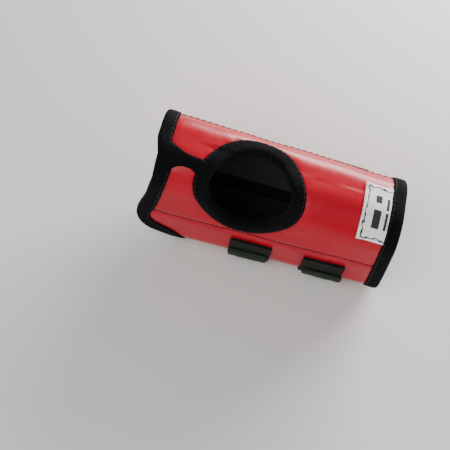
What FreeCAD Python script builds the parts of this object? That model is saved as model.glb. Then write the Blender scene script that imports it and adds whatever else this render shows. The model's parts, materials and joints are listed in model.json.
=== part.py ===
"""Weighted wrist splint for the right hand: a padded sleeve with a thumb hole, closed by two straps.

Millimetres. The sleeve stands on its little-finger side, on the two straps. +X points to the forearm,
-X to the fingers, -Y is the palm side, +Y the back of the hand, and +Z the thumb side. The origin is
on the surface it stands on, under the middle of its box.
"""

import math
import os

import FreeCAD
import Part

os.makedirs("parts", exist_ok=True)
V = FreeCAD.Vector

# ---- Driving dimensions ------------------------------------------------------------------------
# Tube section, outside of the cover, seen from the forearm end
half_thick = 26.8          # half of the palm-to-back thickness
height_mid = 78.0          # little-finger side to thumb side at x = 0
taper = 0.075              # the thumb side drops by this much for each millimetre towards the forearm
r_thumb = 22.0             # the two corners on the thumb side
r_palm = 15.0              # palm corner on the little-finger side
r_back = 10.0              # back corner on the little-finger side

# Layers of the wall, from the outside in
cover_t = 1.2
foam_t = 3.0
lining_t = 0.8
back_foam_t = 6.0          # the back flap is thicker, because it holds the weights

# Ends of the sleeve
end_x = 80.0               # forearm edge at mid height
end_slant = 0.055          # the forearm edge leans by this much for each millimetre of height
finger_x = -76.0           # finger edge on the back of the hand
web_x = -72.0              # finger edge where it dips between thumb and first finger
web_z = 81.0
shoulder_x = -76.4         # finger edge across the palm, above the lobe
shoulder_z = 51.0
shoulder_r = 60.0
lobe_x = -84.5             # corner of the lobe that lies in the palm
lobe_z = 24.0
lobe_r = 14.0
heel_x = -47.5             # finger edge on the little-finger side
heel_z = 11.0

# Thumb hole: an oval cut square to the palm-and-thumb corner
thumb_x = -15.2
thumb_half_x = 26.2
thumb_half_w = 25.0
thumb_low_z = 45.327       # lowest point of the hole, on the palm side

# Seams and the long opening
palm_seam_z = 40.0
back_seam_deg = 33.0       # where the back flap's hinge seam lies on the back thumb corner
slit_low_z = 17.5
slit_high_z = 21.5
flap_corner_r = 16.0
slit_corner_r = 6.0
seam_gap = 0.4             # between the two sides of the hinge seam

# Edge binding
bind_w = 8.0
bind_t = 1.1
ring_w = 4.0               # width of the thumb hole's binding up and down the slope
ring_shift = 1.7           # it is folded further over on the thumb side of the hole

# Straps, hook and loop
strap_w = 25.4
strap_t = 1.4
strap_xs = (-5.7, 44.7)
patch_xs = (-5.3, 42.8)
patch_w = 27.5
patch_top_z = 32.0
strap_top_zs = (22.5, 21.0)
pad_t = 1.1
hook_t = 0.7
strap_gap = 0.3            # between hook and loop, which are on different bodies
touch = 0.05               # between pieces that are sewn together
back_strap_top = 60.0      # end of the strap on the back
tip_len = 10.0
fold_deg = 50.0            # where the strap starts to lift, below the back corner's level
pad_high = 61.5            # end of the loop pad on the back flap
hook_inset = 1.5           # the hook starts this far above the pad's lower edge
hinge_slot = 0.6           # between the stretches of strap that move apart

# Stiffening stay and its pocket inside the palm wall
stay_w = 15.0
stay_t = 2.0
stay_len = 120.0
stay_x = 14.0
stay_z = 25.0
tip_cap = 7.0              # dipped ends of the stay
cap_t = 0.3
pocket_front_t = 0.8
pocket_slack = 0.3
pocket_side = 2.5

# Weights in the back flap
weight_count = 4
weight_low_z = 24.4        # lower side of the lowest weight
weight_drop = 20.8         # the highest weight ends this far below the thumb side
weight_gap = 1.2           # between neighbours, for the sewn line
weight_skin = 0.6          # foam left on each side of a weight
weight_len = 112.0
weight_slack = 0.2

# Size label sewn under the forearm binding
label_t = 0.35
label_len = 25.0           # along the sleeve, part of it under the binding
label_s = (-13.0, 27.0)    # from one side of the thumb-side ridge to the other, around the sleeve

# Web between thumb and first finger: the two bound edges are sewn one over the other there
arch_x = (-69.0, -46.5)    # the rounded end of the palm side's tongue, below the band
arch_w = 45.5
arch_r = 10.5
band_w = 53.0              # upper side of the band, up the slope

# ---- Sizes that follow -------------------------------------------------------------------------
wall = cover_t + foam_t + lining_t
back_wall = cover_t + back_foam_t + lining_t
strap_in = pad_t + touch + strap_gap + hook_t + touch   # inner face of the strap above the cover
strap_out = strap_in + strap_t
base_z = strap_out                                      # the straps stand on z = 0
far = 130.0                                             # beyond the sleeve on any side
thumb_w = (thumb_low_z - half_thick) / math.sqrt(2) + thumb_half_w   # middle of the hole, up the slope
weight_room = base_z + height_mid - weight_drop - weight_low_z
weight_pitch = (weight_room + weight_gap) / weight_count
weight_w = weight_pitch - weight_gap
weight_first_z = weight_low_z + weight_w / 2
weight_t = back_foam_t - 2 * weight_skin
slope_depth = 38.0                                      # slope prisms start inside, clear of the back
pad_low = slit_high_z + bind_w + touch                  # the loop pad starts above the flap's binding
stay_y = -half_thick + wall + bind_t + touch + pocket_slack + cap_t + stay_t / 2
split_y = 0.0                                           # palm half is y below this, back half above
level_z = 46.0                                          # the walls are upright at this height


def top_z(x):
    """Height of the cover on the thumb side."""
    return base_z + height_mid - taper * x


def section(x, out=0.0):
    """Closed outline of the tube at x, moved out of the cover's outside by out."""
    b = half_thick + out
    low, high = base_z - out, top_z(x) + out
    rt, rp, rb = r_thumb + out, r_palm + out, r_back + out

    def corner(cy, cz, r, a0, a1):
        at = [V(x, cy + r * math.cos(math.radians(a)), cz + r * math.sin(math.radians(a)))
              for a in (a0, (a0 + a1) / 2, a1)]
        return Part.Arc(*at).toShape(), at[0], at[2]

    corners = [corner(b - rt, high - rt, rt, 0, 90), corner(-b + rt, high - rt, rt, 90, 180),
               corner(-b + rp, low + rp, rp, 180, 270), corner(b - rb, low + rb, rb, 270, 360)]
    edges = []
    for i, (arc, first, last) in enumerate(corners):
        edges += [arc, Part.LineSegment(last, corners[(i + 1) % 4][1]).toShape()]
    return Part.Wire(edges)


def core(out):
    """The tube filled in: its upper half drops towards the forearm, its lower half is level."""
    face = Part.Face(section(-far, out))
    upper = face.extrude(V(2 * far, 0, -2 * far * taper)).common(block(-far, far, -far, far, level_z, far))
    lower = face.extrude(V(2 * far, 0, 0)).common(block(-far, far, -far, far, -far, level_z))
    return upper.fuse(lower).removeSplitter()


def tube(out, inn):
    """Tube wall between two offsets of the section, longer than the sleeve."""
    return core(out).cut(core(inn))


def rounded(points):
    """Closed wire in the XZ plane through (x, z, corner radius)."""
    edges, ends = [], []
    n = len(points)
    for i, (x, z, r) in enumerate(points):
        p = V(x, 0, z)
        a = (V(points[i - 1][0], 0, points[i - 1][1]) - p).normalize()
        b = (V(points[(i + 1) % n][0], 0, points[(i + 1) % n][1]) - p).normalize()
        half = a.getAngle(b) / 2
        if r <= 0:
            ends.append((p, None, p))
            continue
        back = r / math.tan(half)
        middle = (a + b).normalize() * (r / math.sin(half) - r)
        ends.append((p + a * back, p + middle, p + b * back))
    for i, (first, middle, last) in enumerate(ends):
        if middle is not None:
            edges.append(Part.Arc(first, middle, last).toShape())
        edges.append(Part.LineSegment(last, ends[(i + 1) % n][0]).toShape())
    return Part.Wire(edges)


def plate(wire, grow, y0, y1):
    """The outline grown by grow, as a solid from y0 to y1."""
    shape = wire.makeOffset2D(grow) if grow else wire
    face = Part.Face(shape)
    face.translate(V(0, y0, 0))
    return face.extrude(V(0, y1 - y0, 0))


def end_at(z):
    """The forearm edge at a height."""
    return end_x - end_slant * (z - base_z - height_mid / 2)


def outline_palm():
    return rounded([(finger_x, far, 0), (finger_x, web_z + 6, 8), (web_x, web_z, 8),
                    (shoulder_x, shoulder_z, shoulder_r), (lobe_x, lobe_z, lobe_r),
                    (heel_x - 7, heel_z, 12), (heel_x, -6, 8), (heel_x, -far, 0),
                    (end_at(-far), -far, 0), (end_at(far), far, 0)])


def outline_back():
    return rounded([(finger_x, far, 0), (finger_x, -far, 0), (end_at(-far), -far, 0), (end_at(far), far, 0)])


def outline_heel():
    return rounded([(heel_x, slit_low_z, slit_corner_r), (heel_x, -far, 0), (end_at(-far), -far, 0),
                    (end_at(slit_low_z), slit_low_z, slit_corner_r)])


def outline_flap():
    return rounded([(finger_x, far, 0), (finger_x, slit_high_z, flap_corner_r),
                    (end_at(slit_high_z), slit_high_z, slit_corner_r), (end_at(far), far, 0)])


def seam_point(x, out):
    """Point on the hinge seam at x, moved out of the cover."""
    a = math.radians(back_seam_deg)
    r = r_thumb + out
    return V(x, half_thick - r_thumb + r * math.cos(a), top_z(x) - r_thumb + r * math.sin(a))


def beyond_seam(gap):
    """Everything on the back-flap side of the hinge seam, from gap past it."""
    a, b = seam_point(-far, 0), seam_point(far, 0)
    along = (b - a).normalize()
    out = V(0, math.cos(math.radians(back_seam_deg)), math.sin(math.radians(back_seam_deg)))
    down = along.cross(out).normalize()
    if down.z > 0:
        down = down * -1
    start = a + down * gap - out * 60
    corners = [start, start + out * 120, start + out * 120 + down * 150, start + down * 150, start]
    return Part.Face(Part.makePolygon(corners)).extrude(b - a)


def block(x0, x1, y0, y1, z0, z1):
    return Part.makeBox(x1 - x0, y1 - y0, z1 - z0, V(x0, y0, z0))


def slope_oval(grow_x, grow_w, shift=0.0):
    """Oval prism square to the palm-and-thumb corner."""
    up = V(0, 1, 1).normalize()
    out = V(0, -1, 1).normalize()
    centre = V(thumb_x, 0, 0) + up * (thumb_w + shift)
    a, b = thumb_half_x + grow_x, thumb_half_w + grow_w
    major, minor = (a, b) if a >= b else (b, a)
    first = V(1, 0, 0) if a >= b else up
    ellipse = Part.Ellipse(V(0, 0, 0), major, minor)
    shape = ellipse.toShape()
    turn = FreeCAD.Rotation(first, up if a >= b else V(-1, 0, 0), out, "XYZ")
    shape.Placement = FreeCAD.Placement(centre + out * slope_depth, turn)
    return Part.Face(Part.Wire(shape)).extrude(out * far)


def slope_plate(x0, x1, w0, w1, r):
    """Plate seen square to the palm-and-thumb corner, its upper corners rounded by r."""
    up = V(0, 1, 1).normalize()
    out = V(0, -1, 1).normalize()
    wire = rounded([(x0, w0, 0), (x1, w0, 0), (x1, w1, r), (x0, w1, r)])
    wire.Placement = FreeCAD.Placement(out * slope_depth, FreeCAD.Rotation(V(1, 0, 0), out * -1, up, "XYZ"))
    return Part.Face(wire).extrude(out * far)


def save(name, shape):
    """Write one node, with each of its solids made whole."""
    clean = shape.removeSplitter()
    solids = [s for s in clean.Solids if s.Volume > 0.5]
    if not solids or not all(s.isValid() for s in solids):
        raise ValueError(name + " is not a valid solid")
    result = solids[0] if len(solids) == 1 else Part.makeCompound(solids)
    result.exportStep("parts/" + name + ".step")
    box = result.optimalBoundingBox(True, False)
    print("%-24s %d solid(s) %9.1f mm3  x %.1f..%.1f y %.1f..%.1f z %.1f..%.1f" % (
        name, len(solids), sum(s.Volume for s in solids),
        box.XMin, box.XMax, box.YMin, box.YMax, box.ZMin, box.ZMax))


# ---- Regions -----------------------------------------------------------------------------------
flap_side = beyond_seam(seam_gap / 2)
not_root = beyond_seam(-seam_gap / 2).common(block(-far, far, split_y, far, level_z, far * 2))
back_low = block(-far, far, split_y, far, -far, slit_low_z + bind_t + touch)


def root_region(grow):
    """Where the sleeve's fixed walls are, with their free edges grown by grow."""
    palm = plate(outline_palm(), grow, -far, split_y)
    ridge = plate(outline_back(), grow, split_y, far).cut(not_root)
    ridge = ridge.common(block(-far, far, split_y, far, level_z, far * 2))
    heel = plate(outline_heel(), grow, split_y, far).common(back_low)
    return palm.fuse([ridge, heel])


def flap_region(grow):
    return plate(outline_flap(), grow, half_thick - back_wall - 12, far).common(flap_side)


palm_part = block(-far, far, -far, split_y, -far, palm_seam_z).fuse(back_low)
thumb_hole = slope_oval(0, 0)
root_keep = root_region(0)
flap_keep = flap_region(0)


# ---- Walls -------------------------------------------------------------------------------------
def walls():
    """Cover, foam and lining of the two fixed panels and of the back flap."""
    depth = 0.0
    for layer, thick in (("cover", cover_t), ("foam", foam_t), ("lining", lining_t)):
        shell = tube(-depth, -depth - thick).common(root_keep)
        save("palm_" + layer, shell.common(palm_part))
        save("thumb_" + layer, shell.cut(palm_part).cut(thumb_hole))
        depth += thick
    packs = [weight(i, weight_slack) for i in range(weight_count)]
    depth = 0.0
    for layer, thick in (("cover", cover_t), ("foam", back_foam_t), ("lining", lining_t)):
        shell = tube(-depth, -depth - thick).common(flap_keep)
        if layer == "foam":
            shell = shell.cut(Part.makeCompound(packs))
        save("back_" + layer, shell)
        depth += thick


def weight(i, grow):
    """One weight, a flat bar with round ends, lying along the back flap."""
    z = weight_first_z + weight_pitch * i
    y = half_thick - cover_t - back_foam_t / 2
    r = weight_w / 2 + grow
    length = weight_len + 2 * grow
    middle = (finger_x + end_x) / 2
    wire = rounded([(middle - length / 2, z - r, r * 0.98), (middle + length / 2, z - r, r * 0.98),
                    (middle + length / 2, z + r, r * 0.98), (middle - length / 2, z + r, r * 0.98)])
    return plate(wire, 0, y - weight_t / 2 - grow, y + weight_t / 2 + grow)


def weights():
    for i in range(weight_count):
        save("weight_%d" % (i + 1), weight(i, 0))


# ---- Bindings ----------------------------------------------------------------------------------
def bindings():
    """Tape folded over every free edge: a channel that holds the wall's edge."""
    thick = tube(bind_t, -wall - bind_t)
    solid_wall = tube(touch, -wall - touch).common(root_region(touch))
    edge = thick.common(root_region(bind_t)).cut(root_region(-bind_w)).cut(solid_wall)
    edge = edge.cut(not_root)
    save("finger_binding", edge.common(block(-far, 0, -far, far, -far, far * 2)).cut(slit_part()))
    save("forearm_binding", edge.common(block(0, far, -far, far, -far, far * 2)).cut(slit_part()))
    save("slit_binding", edge.common(slit_part()))
    ring = thick.common(hole_ring(0)).cut(slope_oval(-bind_t, -bind_t))
    save("thumb_binding", ring.cut(solid_wall.cut(slope_oval(-touch, -touch))))
    save("web_binding", web_band())
    back_thick = tube(bind_t, -back_wall - bind_t)
    back_core = tube(touch, -back_wall - touch).common(flap_region(touch))
    flap = back_thick.common(flap_region(bind_t)).cut(flap_region(-bind_w)).cut(back_core)
    save("back_flap_binding", flap.common(flap_side))


def slit_part():
    """The stretch of the heel's edge that runs along the long opening."""
    x0 = heel_x + slit_corner_r + bind_w
    x1 = end_at(slit_low_z) - slit_corner_r - bind_w
    return block(x0, x1, half_thick - 2 * wall, far, base_z + r_back / 2, slit_low_z + 2 * bind_t)


def hole_ring(grow):
    """Outer outline of the thumb hole's binding."""
    return slope_oval(bind_w + grow, ring_w + grow, ring_shift)


def web_band():
    """Bound end of the palm side's tongue, from the finger edge to the thumb hole."""
    low = arch_w - arch_r
    strip = slope_plate(finger_x, thumb_x, low, band_w, touch)
    strip = strip.cut(slope_plate(arch_x[0], arch_x[1], low - 1, arch_w, arch_r))
    strip = strip.cut(slope_plate(arch_x[1], far, low - 1, low + arch_r / 2, touch))
    strip = strip.common(plate(outline_palm(), -bind_w - touch, -far, far))
    return tube(bind_t, touch).common(strip).cut(hole_ring(touch))


# ---- Straps ------------------------------------------------------------------------------------
def band(inn, out, x_mid, width):
    """A strap all the way round the tube's lower half, between two offsets."""
    ring = tube(out, inn)
    return ring.common(block(x_mid - width / 2, x_mid + width / 2, -far, far, -far, base_z + 60))


def corner_centre(out=0.0):
    """Centre of the back corner on the little-finger side."""
    return V(0, half_thick - r_back, base_z + r_back)


def fold_point():
    """Line on the strap's outer face that its free end turns about."""
    r = r_back + strap_out
    a = math.radians(-fold_deg)
    return corner_centre() + V(0, r * math.cos(a), r * math.sin(a))


def fan(deg0, deg1):
    """Wedge around the back corner's centre between two angles, 0 pointing to +Y."""
    c = corner_centre()
    turns = [math.radians(a) for a in (deg0, deg1)]
    at = [c] + [c + V(0, 60 * math.cos(a), 60 * math.sin(a)) for a in turns]
    at = [V(-far, p.y, p.z) for p in at]
    return Part.Face(Part.makePolygon(at + [at[0]])).extrude(V(2 * far, 0, 0))


def straps():
    c = corner_centre()
    slot = math.degrees(hinge_slot / (r_back + strap_in))
    for i in (0, 1):
        name = "strap_%d" % (i + 1)
        tape = band(strap_in, strap_out, strap_xs[i], strap_w)
        palm = tape.common(block(-far, far, -far, split_y, -far, strap_top_zs[i]))
        under = tape.common(block(-far, far, split_y, c.y, -far, c.z))
        turn = tape.common(fan(-90, -fold_deg - slot / 2))
        save(name + "_base", palm.fuse([under, turn]))
        lift = tape.common(fan(-fold_deg + slot / 2, 0))
        up = tape.common(block(-far, far, c.y, far, c.z, back_strap_top - tip_len))
        save(name + "_end", lift.fuse(up))
        save(name + "_tip", tape.common(block(-far, far, c.y, far, back_strap_top - tip_len + hinge_slot,
                                              back_strap_top)))
        hook = band(strap_in - touch - hook_t, strap_in - touch, strap_xs[i], strap_w - 2)
        save(name + "_hook", hook.common(block(-far, far, c.y, far, pad_low + hook_inset,
                                               back_strap_top - tip_len - 1)))
        patch = band(touch, strap_in - touch, patch_xs[i], patch_w)
        low = patch.common(block(-far, far, -far, split_y, -far, patch_top_z))
        save(name + "_patch", low.fuse(patch.common(block(-far, far, split_y, c.y, -far, c.z))))
        loop = band(touch, pad_t + touch, patch_xs[i], patch_w)
        save("loop_pad_%d" % (i + 1), loop.common(block(-far, far, c.y, far, pad_low, pad_high)))


# ---- Stay, pocket and label --------------------------------------------------------------------
def stay_shape(x0, x1, grow):
    """Flat bar with round ends; grow makes the dipped coat."""
    r = (stay_w / 2 + grow) * 0.98
    z0, z1 = stay_z - stay_w / 2 - grow, stay_z + stay_w / 2 + grow
    a, b = stay_x - stay_len / 2 - grow, stay_x + stay_len / 2 + grow
    body = plate(rounded([(a, z0, r), (b, z0, r), (b, z1, r), (a, z1, r)]), 0,
                 stay_y - stay_t / 2 - grow, stay_y + stay_t / 2 + grow)
    return body.common(block(x0, x1, -far, far, -far, far))


def stay():
    left, right = stay_x - stay_len / 2, stay_x + stay_len / 2
    bar = stay_shape(-far, far, 0)
    save("stay", bar)
    ends = (("stay_cap_finger", -far, left + tip_cap), ("stay_cap_forearm", right - tip_cap, far))
    for name, x0, x1 in ends:
        save(name, stay_shape(x0, x1, cap_t).cut(bar))
    half_z = stay_w / 2 + cap_t + pocket_slack
    y0 = stay_y - stay_t / 2 - cap_t - pocket_slack
    y1 = stay_y + stay_t / 2 + cap_t + pocket_slack
    x0, x1 = left - cap_t - 1, end_at(stay_z) - bind_w - 0.5
    hollow = block(x0, far, y0, y1, stay_z - half_z, stay_z + half_z)
    back = -half_thick + wall + touch
    outer = block(x0 - pocket_side, x1, back, y1 + pocket_front_t, stay_z - half_z - pocket_side,
                  stay_z + half_z + pocket_side)
    outer = outer.cut(tube(0, -wall - touch)).common(plate(outline_palm(), -bind_w - touch, -far, far))
    save("stay_pocket", outer.cut(hollow))


def label():
    """Cloth label, tucked under the forearm binding, across the thumb-side ridge."""
    x1 = end_at(top_z(end_x)) - bind_w - touch
    x0 = x1 - label_len + bind_w
    shell = tube(label_t + touch, touch)
    arc = r_thumb * math.pi / 2
    flat = half_thick - r_thumb

    def ray(s):
        """Half-plane edge direction at distance s round the sleeve from the ridge, + towards the palm."""
        side = -1 if s > 0 else 1
        a = math.degrees((abs(s) - flat) / r_thumb)
        return side, a

    keep = block(x0, x1, -flat, flat, level_z, far * 2)
    for s in label_s:
        side, a = ray(s)
        if a > 0:
            centre = V(x0, side * flat, top_z(x0) - r_thumb)
            edge = [V(0, 0, 0), V(0, 0, 80), V(0, side * 80 * math.sin(math.radians(a)),
                                              80 * math.cos(math.radians(a)))]
            face = Part.Face(Part.makePolygon([centre + p for p in edge] + [centre]))
            keep = keep.fuse(face.extrude(V(x1 - x0, 0, 0)))
    save("label", shell.common(keep))


walls()
weights()
bindings()
straps()
stay()
label()
h = seam_point(0, bind_t + 0.1)
h2 = seam_point(100, bind_t + 0.1)
print("hinge seam at", h, "direction", (h2 - h).normalize())
print("strap fold line", fold_point())
tip_y = half_thick + strap_out
print("strap tip line y %.3f z %.3f" % (tip_y, back_strap_top - tip_len + hinge_slot / 2))
print("stay y %.3f z %.3f" % (stay_y, stay_z))
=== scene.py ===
import json
import math

import bmesh
import bpy
import numpy as np
from mathutils import Matrix, Vector


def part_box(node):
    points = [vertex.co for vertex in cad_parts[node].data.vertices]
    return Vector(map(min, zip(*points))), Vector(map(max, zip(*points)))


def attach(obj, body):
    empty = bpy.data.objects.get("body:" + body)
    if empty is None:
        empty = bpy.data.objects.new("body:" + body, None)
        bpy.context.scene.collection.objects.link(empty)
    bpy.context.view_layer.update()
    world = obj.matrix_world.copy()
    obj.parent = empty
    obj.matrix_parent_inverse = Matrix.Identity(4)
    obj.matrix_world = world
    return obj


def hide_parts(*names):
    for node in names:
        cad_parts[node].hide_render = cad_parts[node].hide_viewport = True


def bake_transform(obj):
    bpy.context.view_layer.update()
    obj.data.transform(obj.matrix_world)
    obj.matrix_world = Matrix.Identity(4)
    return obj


# The sleeve is drawn on a map: x along the arm and t around the tube, both in millimetres.
# t is 0 at the middle of the thumb side and grows over the palm side, under the little-finger
# side and up the back of the hand. d is the height above the cover.

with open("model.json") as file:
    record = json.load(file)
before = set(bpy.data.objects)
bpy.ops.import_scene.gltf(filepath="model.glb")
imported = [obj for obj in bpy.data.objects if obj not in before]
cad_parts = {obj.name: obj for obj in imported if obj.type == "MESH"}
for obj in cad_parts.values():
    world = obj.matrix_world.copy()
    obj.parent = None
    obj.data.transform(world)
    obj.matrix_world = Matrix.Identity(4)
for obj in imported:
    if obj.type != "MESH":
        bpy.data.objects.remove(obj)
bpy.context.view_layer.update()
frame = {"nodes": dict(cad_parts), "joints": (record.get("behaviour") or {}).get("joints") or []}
mm = 0.001
print("frame loaded:", len(frame["nodes"]), "nodes")


def boxOf(node):
    # lowest and highest corner of a CAD node, in millimetres
    return [np.array(corner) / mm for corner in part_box(node)]


palmLow, palmHigh = boxOf("palm_cover")
flapLow = boxOf("back_cover")[0]

tube = {
    "half": -palmLow[1],            # half of the palm-to-back thickness
    "base": palmLow[2],             # underside of the cover
    "height": 78.0,                 # at x = 0
    "taper": 0.075,
    "thumbR": 22.0,
    "palmR": 15.0,
    "backR": 10.0,
    "wall": 5.0,
    "backWall": 8.0,
    "cover": 1.2,
    "lining": 0.8,
}
edge = {
    "fingerX": flapLow[0],
    "forearmX": 80.0,
    "heelX": -50.0,
    "slitLow": 17.5,                # height of the opening's lower edge on the back
    "slitHigh": flapLow[2],
    "seamTurn": 4.5,                # the seam's blend span reaches this far on each side of it
    "seamDeg": 33.0,                # the back flap's seam on the back thumb corner
    "palmSeamZ": palmHigh[2],
    "bindW": 8.0,
    "rootX": 78.5,                  # forearm edge where the flap begins
}
# the hole's lower side is drawn higher by twice "raise"
thumbHole = {"x": -15.2, "halfX": 26.2, "w": 38.1, "halfW": 25.0, "raise": 0.9}
padding = {"crowns": ((2, 0.75), (6, 0.35)), "rise": 0.22, "floorGap": 3.0, "fade": 14.0}


# the map of the tube

def topZ(x):
    return tube["base"] + tube["height"] - tube["taper"] * x


quarter = math.pi / 2
spans = [tube["half"] - tube["thumbR"], tube["thumbR"] * quarter,
         tube["height"] - tube["thumbR"] - tube["palmR"], tube["palmR"] * quarter,
         2 * tube["half"] - tube["palmR"] - tube["backR"], tube["backR"] * quarter,
         tube["height"] - tube["thumbR"] - tube["backR"], tube["thumbR"] * quarter,
         tube["half"] - tube["thumbR"]]
marks = np.concatenate([[0.0], np.cumsum(spans)])
around = marks[-1]


def tubeLine(x, t):
    # y, z and outward direction of the cover's outer face
    x, t = np.broadcast_arrays(np.asarray(x, float), np.asarray(t, float))
    t = np.mod(t, around)
    b, base, top = tube["half"], tube["base"], topZ(x)
    rt, rp, rb = tube["thumbR"], tube["palmR"], tube["backR"]
    y, z, ny, nz = (np.zeros(t.shape) for _ in range(4))

    def put(k, ys, zs, nys, nzs):
        m = (t >= marks[k]) & (t <= marks[k + 1])
        for out, value in ((y, ys), (z, zs), (ny, nys), (nz, nzs)):
            out[m] = np.broadcast_to(value, t.shape)[m]

    def bend(k, cy, cz, r, nys, nzs):
        put(k, cy + r * nys, cz + r * nzs, nys, nzs)

    part = [(t - marks[k]) / spans[k] for k in range(9)]
    sine, cosine = [[wave(np.clip(p, 0, 1) * quarter) for p in part] for wave in (np.sin, np.cos)]
    put(0, -t, top, 0.0, 1.0)
    bend(1, rt - b, top - rt, rt, -sine[1], cosine[1])
    put(2, -b, (top - rt) * (1 - part[2]) + (base + rp) * part[2], -1.0, 0.0)
    bend(3, rp - b, base + rp, rp, -cosine[3], -sine[3])
    put(4, rp - b + (t - marks[4]), base, 0.0, -1.0)
    bend(5, b - rb, base + rb, rb, sine[5], -cosine[5])
    put(6, b, (base + rb) * (1 - part[6]) + (top - rt) * part[6], 1.0, 0.0)
    bend(7, b - rt, top - rt, rt, cosine[7], sine[7])
    put(8, b - rt - (t - marks[8]), top, 0.0, 1.0)
    return y, z, ny, nz


def softness(x, t):
    # how far the padding stands out from the plain tube; nothing on the side it stands on
    z = tubeLine(x, t)[1]
    t = np.mod(t, around)
    crown = 0.0
    for k, rise in padding["crowns"]:
        p = np.clip((t - marks[k]) / spans[k], 0, 1)
        crown = crown + rise * np.sin(p * math.pi) ** 2
    swell = (0.24 * np.sin(x / 17.0 + t / 23.0 + 0.6) * np.cos(t / 13.0 - x / 41.0)
             + 0.15 * np.sin(x / 9.5 - t / 11.0 + 2.1) * np.sin(t / 19.0 + 1.1)
             + 0.10 * np.cos(x / 5.2 + t / 8.1 + 4.0))
    lift = np.clip((z - tube["base"] - padding["floorGap"]) / padding["fade"], 0, 1)
    return (crown + swell + padding["rise"]) * lift * lift * (3 - 2 * lift)


def place(x, t, d, soft=True):
    # points of the map in metres
    x, t, d = np.broadcast_arrays(np.asarray(x, float), np.asarray(t, float), np.asarray(d, float))
    y, z, ny, nz = tubeLine(x, t)
    if soft:
        d = d + softness(x, t) * np.clip((d + tube["wall"]) / tube["wall"], 0, 1)
    return np.stack([x, y + ny * d, z + nz * d], -1) * mm


def findT(low, high, isBefore):
    # halves the span until its ends meet
    for _ in range(40):
        mid = (low + high) / 2
        go = isBefore(mid)
        low, high = np.where(go, mid, low), np.where(go, high, mid)
    return (low + high) / 2


def tAtZ(x, z, side):
    # where the tube's outer face is at a height, on the palm side or on the back
    low = np.full(np.shape(np.asarray(x, float) + z), 0.0 if side == "palm" else marks[5])
    high = np.full(low.shape, marks[4] if side == "palm" else around)
    return findT(low, high, lambda t: (tubeLine(x, t)[1] > z) == (side == "palm"))


def tAtW(x, w):
    # the same for a distance up the palm-and-thumb corner's slope
    low, high = np.full(np.shape(x), -marks[1] - 12.0), np.full(np.shape(x), marks[3])
    return findT(low, high, lambda t: sum(tubeLine(x, t)[:2]) / math.sqrt(2) > w)


seamT = marks[7] + tube["thumbR"] * math.radians(edge["seamDeg"]) - around
slitLowT = float(tAtZ(0.0, edge["slitLow"], "back"))
slitHighT = float(tAtZ(0.0, edge["slitHigh"], "back")) - around


def palmSeam(x):
    return tAtZ(x, edge["palmSeamZ"], "palm")


def roundedPath(points, step=0.8):
    # open path through (x, t, corner radius), with arcs at its corners
    pts = [np.array(p[:2], float) for p in points]
    out = [pts[0]]
    for i in range(1, len(pts) - 1):
        r = points[i][2] if len(points[i]) > 2 else 0.0
        a, b = pts[i - 1] - pts[i], pts[i + 1] - pts[i]
        a, b = a / np.linalg.norm(a), b / np.linalg.norm(b)
        half = math.acos(float(np.clip(a @ b, -1, 1))) / 2
        if r <= 0 or half > quarter - 1e-3:
            out.append(pts[i])
            continue
        back = r / math.tan(half)
        bisector = (a + b) / np.linalg.norm(a + b)
        centre = pts[i] + bisector * r / math.sin(half)
        first, last = pts[i] + a * back - centre, pts[i] + b * back - centre
        sweep = math.pi - 2 * half
        sign = math.copysign(1, first[0] * last[1] - first[1] * last[0])
        for k in range(13):
            angle = sign * sweep * k / 12
            c, s = math.cos(angle), math.sin(angle)
            out.append(centre + np.array([c * first[0] - s * first[1], s * first[0] + c * first[1]]))
    out.append(pts[-1])
    return resample(np.array(out), step)


def runAlong(line):
    # how far along the path each of its points lies
    return np.concatenate([[0], np.cumsum(np.linalg.norm(np.diff(line, axis=0), axis=1))])


def pickAt(line, run, at):
    return np.stack([np.interp(at, run, line[:, k]) for k in (0, 1)], -1)


def resample(line, step):
    run = runAlong(line)
    count = max(2, int(round(run[-1] / step)) + 1)
    return pickAt(line, run, np.linspace(0, run[-1], count))


def inwards(line, closed=False):
    # unit direction to the right of the path's run
    if closed:
        run = np.roll(line, -1, 0) - np.roll(line, 1, 0)
    else:
        run = np.gradient(line, axis=0)
    run = run / np.linalg.norm(run, axis=1)[:, None]
    return np.stack([run[:, 1], -run[:, 0]], -1)


lap = 8.0                           # the flap's edges run this far past its seam
sleeveEdge = roundedPath([
    (edge["fingerX"], seamT + lap),
    (edge["fingerX"], 3.0, 9.0),
    (-71.6, 20.5, 11.0),
    (-76.4, 51.9, 60.0),
    (-84.0, 75.7, 15.0),
    (-56.5, 88.3, 13.0),
    (-51.2, 112.0, 20.0),
    (edge["heelX"], 140.0, 20.0),
    (edge["heelX"], slitLowT, 8.6),
    (81.5, slitLowT, 8.6),
    (82.2, 118.0, 30.0),
    (81.3, 80.0, 60.0),
    (79.0, 36.0, 30.0),
    (78.3, 0.0, 30.0),
    (edge["rootX"], seamT + lap)])
flapEdge = roundedPath([
    (edge["rootX"], seamT + lap),
    (78.8, -40.0, 30.0),
    (81.2, slitHighT, 9.5),
    (edge["fingerX"], slitHighT, 16.0),
    (edge["fingerX"], seamT + lap)])
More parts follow.
